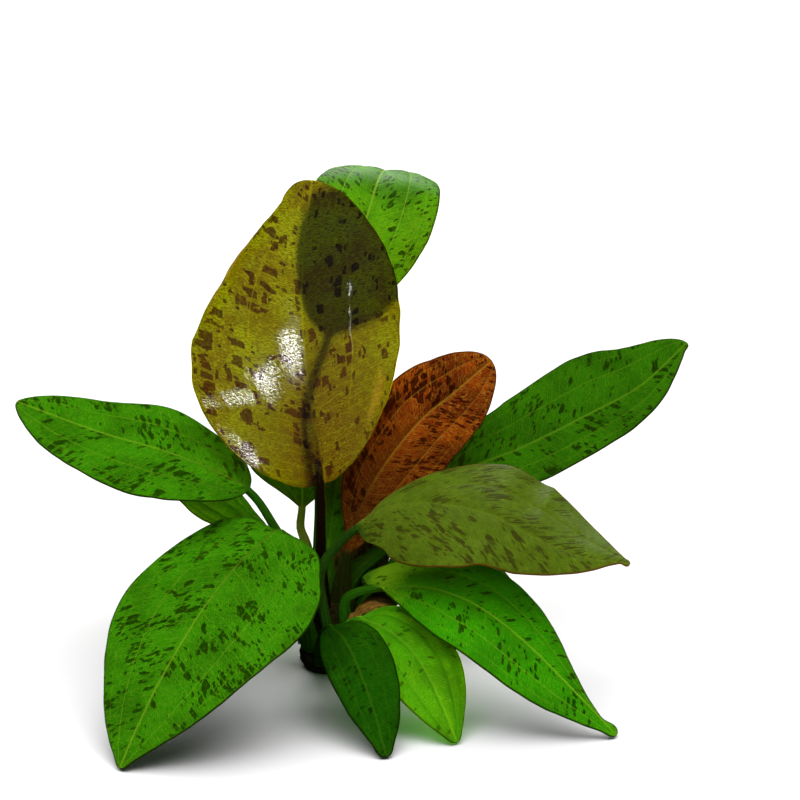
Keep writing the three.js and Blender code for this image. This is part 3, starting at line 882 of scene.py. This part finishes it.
leaf_low_right = leaf(
    "leaf_low_right_skin",
    stalk=[[8, -5, 14], [6.5, -9, 31], [12, -13, 36.5], [18.5, -17, 39.5]],
    rib=[[27, -23, 42.5], [42, -34, 46], [58, -44, 43], [74, -52, 33], [92, -60, 17], [109, -68, 1]],
    left=(22, 0.36, 0.18, 2.1),
    right=(22, 0.45, 1.3, 0.9),
    side=((-0.5, -0.75, -0.35), (-0.5, -0.75, -0.3)),
    fold=0.02,
    curl=0.1,
    wave=(1, 2, 0),
    lobes=(15, 0),
    foot=(0.5, 30),
    seed=8,
    fine=0.8,
)
attach(leaf_low_right, low_right_skin)
leaf_low_back_right = leaf(
    "leaf_low_back_right_skin",
    stalk=[[10, 5, 9], [13, 9, 21], [22, 16, 30]],
    rib=[[34, 23, 34], [52, 31, 34], [67, 38, 27], [75, 42, 14], [78, 44, 1]],
    left=(18, 0.5, 0.8, 0.7),
    right=(15, 0.4, 0.6, 0.8),
    side=((0.3, -0.8, -0.4), (0.6, -0.8, 0)),
    fold=0.05,
    curl=0.1,
    wave=(1, 2, 0),
    foot=(1.3, 34),
    seed=9,
    fine=0.7,
)
attach(leaf_low_back_right, plain_green_skin)

# The two small leaves in front, young and short stalked, a light green one on the right and a
# dark green one in the middle. Both bend down to the ground.
leaf_small_right = leaf(
    "leaf_small_right_skin",
    stalk=[[5, -11, 8], [5, -18, 21], [12, -25, 29.5]],
    rib=[[25, -37, 29.5], [35, -50, 24], [43, -64, 13], [49, -74, 1]],
    left=(16, 0.42, 0.5, 0.8),
    right=(17, 0.42, 0.45, 0.8),
    side=((-0.8, -0.4, -0.4), (-0.85, -0.5, 0)),
    fold=0.05,
    curl=0.1,
    wave=(0.6, 2, 0),
    seed=10,
    fine=0.6,
)
attach(leaf_small_right, plain_green_skin)
small_front_skin = leaf_skin(
    "small_front_leaf_skin",
    flesh=colour(24, 92, 2),
    deep=colour(16, 70, 2),
    spot=colour(14, 38, 2),
    vein=colour(66, 118, 14),
    edge=colour(18, 24, 4),
    stalk=(colour(36, 84, 8), colour(22, 56, 4)),
    spots=((2.6, 1.5, 0.08, 0.46, 0, 0.3),),
    veins=0.6,
    veinlets=0.4,
    gloss=0.36,
)
leaf_small_front = leaf(
    "leaf_small_front_skin",
    stalk=[[-1, -12, 7], [-2, -20, 19], [1, -29, 28]],
    rib=[[7, -45, 30], [13, -61, 24], [19, -75, 12], [23, -86, 1]],
    left=(14, 0.42, 0.5, 0.8),
    right=(12, 0.42, 0.6, 0.8),
    side=((-0.9, -0.3, -0.3), (-1, -0.2, 0)),
    fold=0.05,
    curl=0.1,
    wave=(0.6, 2, 0),
    seed=11,
    fine=0.6,
)
attach(leaf_small_front, small_front_skin)

# The leaves on the left and at the back: one reaches out level, one stands behind it, the
# broad one in front hangs to the ground, and one lies low at the back.
green_skin = leaf_skin(
    "green_leaf_skin",
    flesh=colour(54, 143, 4),
    deep=colour(37, 114, 2),
    spot=colour(30, 62, 2),
    vein=colour(128, 176, 30),
    edge=colour(30, 32, 4),
    stalk=green_stalk,
    spots=(
        (4.6, 2.3, 0.15, 0.52, 0, 0.3),
        (2.2, 1.4, 0.13, 0.46, 0, 5.1),
        (0.9, 0.8, 0.04, 0.42, 0, 9.7),
    ),
    base_vein=colour(92, 112, 22),
    grainy=0.35,
    veins=0.7,
    veinlets=0.8,
    gloss=0.32,
)
leaf_left = leaf(
    "leaf_left_skin",
    stalk=[[-9, -2, 13], [-11, -6, 43], [-20, -8, 60], [-31, -6, 76]],
    rib=[[-58, 0, 88], [-89, 8, 95], [-122.9, 16, 105]],
    left=(26, 0.45, 0.5, 0.7),
    right=(26, 0.45, 0.5, 0.7),
    side=((0, 0.9, 0.4), (0, 0.9, 0.3)),
    fold=0.05,
    curl=0.12,
    wave=(1, 2, 0),
    seed=12,
    fine=0.8,
)
attach(leaf_left, green_skin)
leaf_behind_left = leaf(
    "leaf_behind_left_skin",
    stalk=[[-9, 4, 9], [-17, 8, 36], [-23, 14, 49.5]],
    rib=[[-36, 26, 55], [-54, 42, 61], [-75, 58, 68]],
    left=(14, 0.45, 0.6, 0.7),
    right=(10, 0.6, 1.3, 0.7),
    side=((0.6, 0.75, 0.2), (0.6, 0.75, 0.2)),
    fold=0.05,
    curl=0.1,
    wave=(1, 2, 0),
    seed=13,
    fine=0.7,
)
attach(leaf_behind_left, plain_green_skin)
leaf_front_left = leaf(
    "leaf_front_left_skin",
    stalk=[[-7, -8, 10], [-13, -12, 45], [-18, -18, 63]],
    rib=[[-29, -28, 59], [-44, -48, 47], [-60, -74, 27], [-68, -86, 13], [-73.8, -95.5, 1]],
    left=(42, 0.34, 0.36, 1),
    right=(36, 0.4, 0.45, 0.9),
    side=((-0.75, 0.6, 0.15), (-0.8, 0.6, 0)),
    fold=0.03,
    curl=0.08,
    wave=(1.2, 2, 0),
    lobes=(6, 0),
    seed=14,
)
attach(leaf_front_left, green_skin)
dark_green_skin = leaf_skin(
    "dark_green_leaf_skin",
    flesh=colour(42, 128, 2),
    deep=colour(30, 104, 2),
    spot=colour(24, 54, 2),
    vein=colour(104, 156, 22),
    edge=colour(24, 28, 4),
    stalk=(colour(44, 100, 10), colour(28, 66, 4)),
    spots=((4.2, 2.2, 0.08, 0.5, 0, 0.3), (2.0, 1.3, 0.08, 0.44, 0, 5.1)),
    gloss=0.32,
)
leaf_low_back_left = leaf(
    "leaf_low_back_left_skin",
    stalk=[[-4, 9, 9], [-14, 22, 27], [-23, 36, 33]],
    rib=[[-34, 56, 31], [-46, 74, 17], [-54, 88, 1]],
    left=(18, 0.45, 0.5, 0.8),
    right=(18, 0.45, 0.5, 0.8),
    side=((0.95, 0.3, 0), (0.95, 0.3, 0)),
    fold=0.05,
    curl=0.1,
    wave=(1, 2, 0),
    seed=15,
    fine=0.7,
)
attach(leaf_low_back_left, dark_green_skin)

# The crown: the short, stout stump that every leaf grows from, dark and fibrous, ringed by the
# scars of leaves that have gone and cut off flat at the ground. Two torn sheaths of such leaves
# still stand at its back right, and turn dry further up.
CROWN_FOOT = 10.4
CROWN_TOP = 28

# each ring's radius and height
CROWN_RINGS = (
    (11.3, 1.6), (12.4, 4), (12.1, 7), (11.7, 10), (11.1, 13), (10.3, 17),
    (9.4, 20), (8.2, 23.5), (6.8, 26), (4.8, 27.3), (2.2, 27.8),
)
SCAR_RISE = 3.4
SCAR_DEPTH = 0.9
MIDDLE = 3
CREASE_ANGLE = 50

bpy.ops.object.select_all(action="DESELECT")
bpy.ops.mesh.primitive_circle_add(vertices=120, radius=CROWN_FOOT * MM, fill_type="NGON")
crown = bpy.context.object
crown.name = crown.data.name = "crown_skin"
bpy.ops.object.mode_set(mode="EDIT")
bpy.ops.mesh.select_all(action="SELECT")
radius, height = CROWN_FOOT, 0.0
for next_radius, next_height in CROWN_RINGS:
    rise = (next_height - height) * MM
    bpy.ops.mesh.extrude_region_move(TRANSFORM_OT_translate={"value": (0, 0, rise)})
    bpy.ops.transform.resize(value=(next_radius / radius, next_radius / radius, 1))
    radius, height = next_radius, next_height
bpy.ops.mesh.poke()
bpy.ops.mesh.select_all(action="SELECT")
bpy.ops.mesh.quads_convert_to_tris()
bpy.ops.mesh.tris_convert_to_quads()
bpy.ops.mesh.subdivide(number_cuts=3)
bpy.ops.mesh.normals_make_consistent(inside=False)
bpy.ops.object.mode_set(mode="OBJECT")

# the scars are ledges that climb round it, and the fibres run up it
at = np.zeros(len(crown.data.vertices) * 3)
crown.data.vertices.foreach_get("co", at)
at = at.reshape(-1, 3)
round_it = np.arctan2(at[:, 1], at[:, 0])
up_it = at[:, 2] / MM
scar = (up_it / SCAR_RISE + round_it / np.pi + 0.2 * np.sin(3 * round_it)) % 1
broad_fibres = 0.144 * np.sin(38 * round_it + 2 * np.sin(up_it))
thin_fibres = 0.096 * np.sin(61 * round_it - 0.7 * up_it)
out_by = -SCAR_DEPTH * (1 - scar) ** 2 + broad_fibres + thin_fibres - 0.1
out_by *= ramp(up_it, 0, 1.5) * np.clip((CROWN_TOP - up_it) / 3, 0, 1)
from_middle = np.hypot(at[:, 0], at[:, 1])
off_middle = from_middle > MIDDLE * MM
grown = 1 + out_by * MM / np.maximum(from_middle, MIDDLE * MM)
at[off_middle, :2] *= grown[off_middle, None]
crown.data.vertices.foreach_set("co", at.ravel())
bpy.ops.object.shade_smooth_by_angle(angle=math.radians(CREASE_ANGLE))

stubs = [
    leaf(
        "crown_stub_1",
        stalk=[[3.5, 7, 13], [4, 9, 22]],
        rib=[[5, 10, 30], [6.5, 11, 38], [8, 12, 47]],
        left=(7.5, 0.5, 0.6, 0.5),
        right=(7.5, 0.6, 0.6, 0.5),
        side=((1, 0, 0), (1, 0, 0)),
        fold=0.1,
        curl=0.3,
        wave=(0.6, 3, 0),
        notch=0.6,
        seed=17,
        fine=0.4,
    ),
    leaf(
        "crown_stub_2",
        stalk=[[7, 8, 12], [9, 12, 22]],
        rib=[[11, 14, 28], [14, 15, 35], [18.5, 16.5, 40], [24, 18, 43.5]],
        left=(9.5, 0.6, 0.6, 0.5),
        right=(7.5, 0.6, 0.6, 0.6),
        side=((0.7, 0, -0.7), (0.7, 0, -0.7)),
        fold=0.1,
        curl=0.2,
        wave=(0.5, 3, 0),
        blunt=(2, 1.2),
        notch=0.5,
        seed=18,
        fine=0.4,
    ),
]
for piece in stubs:
    piece.select_set(True)
crown.select_set(True)
bpy.context.view_layer.objects.active = crown
bpy.ops.object.join()

bark = Nodes("crown_bark")
where = bark.add("ShaderNodeTexCoord").outputs["Object"]
upright = bark.add("ShaderNodeMapping", {"Vector": where, "Scale": (1, 1, 0.12)}).outputs[0]
strands = bark.noise(upright, 1400, 3.0)
mottle = bark.noise(where, 220, 4.0)
light_strands = bark.fade(strands, 0.62, 0.4)
brown = bark.blend(light_strands, colour(52, 40, 18), colour(26, 22, 8))
mossy = bark.times(bark.fade(mottle, 0.68, 0.52), 0.7)
brown = bark.blend(mossy, brown, colour(48, 60, 18))
dry = bark.blend(light_strands, colour(112, 88, 30), colour(60, 50, 14))
raised = bark.add("ShaderNodeSeparateXYZ", {0: where}).outputs[2]
is_high = bark.fade(raised, 42 * MM, 26 * MM)
bark.put(bark.shader.inputs["Base Color"], bark.blend(is_high, brown, dry))
bark.put(bark.shader.inputs["Roughness"], bark.times_plus(mottle, 0.3, 0.5))
bark.relief(strands, 0.4 * MM, strength=0.8)
attach(crown, bark.material)

# The old sheath: the dry, curled foot of a leaf that has died off, tan and fibrous on its inner
# face and dark brown on its outer face, at the crown's right side. The inner face is dark brown
# too beyond a ragged line, towards its end and its left margin.
husk = Nodes("dry_sheath_skin")
mm_across, mm_along = husk.uv("ruler")
share_across, share_along = husk.uv("shares")
fibres = husk.noise(husk.plane(husk.times(mm_across, 3.0), husk.times(mm_along, 0.3)), 1.0, 3.0)
torn = husk.times_plus(fibres, 0.3, husk.times(share_along, -1.0))
torn = husk.times_plus(share_across, 0.6, torn)
# Dark brown on the outer face, and on the inner face beyond a ragged line towards the end and the
# left margin.
dark_part = husk.add("ShaderNodeAttribute", attribute_name="below").outputs["Fac"]
dark_part = husk.maths("MAXIMUM", dark_part, husk.fade(torn, -0.26, -0.14))
light_fibres = husk.fade(fibres, 0.66, 0.36)
tan = husk.blend(light_fibres, colour(166, 120, 52), colour(106, 70, 24))
dark_brown = husk.blend(light_fibres, colour(66, 46, 18), colour(36, 28, 8))
husk.put(husk.shader.inputs["Base Color"], husk.blend(dark_part, tan, dark_brown))
husk.shader.inputs["Roughness"].default_value = 0.7
husk.relief(fibres, 0.4 * MM, strength=0.9)
old_sheath = leaf(
    "old_sheath_skin",
    stalk=[[8.5, -11, 17], [9.5, -13, 26]],
    rib=[[13, -14, 31], [18, -15, 34.5], [23.5, -16, 35.5], [28, -17, 34.5]],
    left=(4.5, 0.5, 0.5, 0.3),
    right=(4.5, 0.5, 0.5, 0.3),
    side=((-0.3, -0.8, -0.5), (0.1, -0.8, -0.5)),
    fold=0,
    curl=0.4,
    wave=(0.3, 2, 0),
    blunt=(2.0, 2.0),
    notch=0.3,
    pucker=0.2,
    seed=16,
    fine=0.5,
)
attach(old_sheath, husk.material)

# The floor: a seamless, matt, pale sheet with an even light of its own. The leaves neither
# mirror it nor take light from it.
bpy.ops.object.select_all(action="DESELECT")
bpy.ops.mesh.primitive_plane_add(size=12)
floor = bpy.context.object
floor.name = "floor"
paper = Nodes("floor_sheet")
paper.shader.inputs["Base Color"].default_value = (0.9, 0.9, 0.9, 1)
paper.shader.inputs["Roughness"].default_value = 0.8
floor.data.materials.append(paper.material)
floor.visible_diffuse = False
floor.visible_glossy = False

# The studio's lights. Broad soft ones hang overhead, a weak one stands in front, and a bright one
# behind shines through the thinner blades. Small ones in front are there only as mirror images
# in the tall leaf's wet patches, and one high behind gives two leaves that bend away a sheen.
world = bpy.data.worlds.new("studio")
bpy.context.scene.world = world
world.use_nodes = True
world.node_tree.nodes["Background"].inputs["Color"].default_value = (1, 1, 1, 1)
world.node_tree.nodes["Background"].inputs["Strength"].default_value = 0.08
world.cycles_visibility.glossy = False


def lamp(name, place, aim, size, watts, lit, mirrored=False, lights=True):
    """A flat lamp, turned to its aim, that reaches only the pieces it lights.

    mirrored lets their shine show it, and lights lets it fall on what isn't mirror-like.
    """
    bpy.ops.object.light_add(type="AREA", location=place)
    light = bpy.context.object
    light.name = name
    light.data.shape = "RECTANGLE"
    light.data.size, light.data.size_y = size
    light.data.energy = watts
    light.visible_glossy = mirrored
    light.visible_diffuse = lights
    way = np.array(aim) - np.array(place)
    flat = math.hypot(way[0], way[1])
    light.rotation_euler = (math.pi / 2 + math.atan2(way[2], flat), 0, math.atan2(-way[0], way[1]))
    receivers = bpy.data.collections.new(name + "_falls_on")
    for piece in lit:
        receivers.objects.link(piece)
    light.light_linking.receiver_collection = receivers
    return light


skins = [piece for piece in bpy.context.scene.objects if piece.name.endswith("_skin")]
others = [piece for piece in skins if piece != leaf_tall]
lamp("top_light", (-0.2, -0.8, 1.9), (0, 0, 0), (2.4, 2), 56, others)
greenish = lamp("dim_light", (0, 0.2, 2.1), (0, 0.1, 0), (3, 2.5), 34, [leaf_tall])
greenish.data.color = (0.72, 1.0, 0.6)
lamp("sheet_light", (0, 0.5, 2.4), (0, 0.5, 0), (4, 4), 160, [floor])
shaded = [leaf_low_right, leaf_front_right, leaf_small_right, leaf_behind_left]
lamp("fill_light", (0.3, -1.5, 0.7), (0.1, 0, 0.05), (0.8, 0.6), 12, shaded)
for name, place, aim_height, size, watts in (
    ("key_light", (0.1, -1.0, 0.54), 0.13, (0.12, 0.16), 3.2),
    ("high_light", (0.2, -0.98, 0.8), 0.14, (0.12, 0.12), 1.2),
    ("low_light", (-0.05, -1.0, 0.47), 0.11, (0.12, 0.08), 2.4),
    ("glint_light", (-0.24, -1.0, 0.37), 0.11, (0.5, 0.05), 3.6),
):
    lamp(name, place, (0, 0, aim_height), size, watts, [leaf_tall], mirrored=True, lights=False)
bent_away = [leaf_top_back, leaf_front_right]
lamp("sheen_light", (0.0, 1.2, 1.0), (0, 0, 0.15), (0.7, 0.5), 9, bent_away, mirrored=True)
thin = [leaf_tall, leaf_top_back, leaf_small_right, leaf_behind_left]
back = lamp("back_light", (0.03, 1.6, 0.16), (0, 0, 0.1), (0.2, 0.2), 118, thin)
in_the_way = bpy.data.collections.new("stops_back_light")
in_the_way.objects.link(leaf_top_back)
back.light_linking.blocker_collection = in_the_way

# The camera stands in front, a little above, where the photograph was taken from.
LOOKS_DOWN_BY = 18
LENS = 112.5
FILM_WIDTH = 36
bpy.ops.object.camera_add(location=(0.028, -0.9184, 0.4094))
camera = bpy.context.object
camera.rotation_euler = (math.radians(90 - LOOKS_DOWN_BY), 0, 0)
camera.data.lens = LENS
camera.data.sensor_width = FILM_WIDTH
bpy.context.scene.camera = camera
bpy.context.scene.view_settings.view_transform = "Standard"
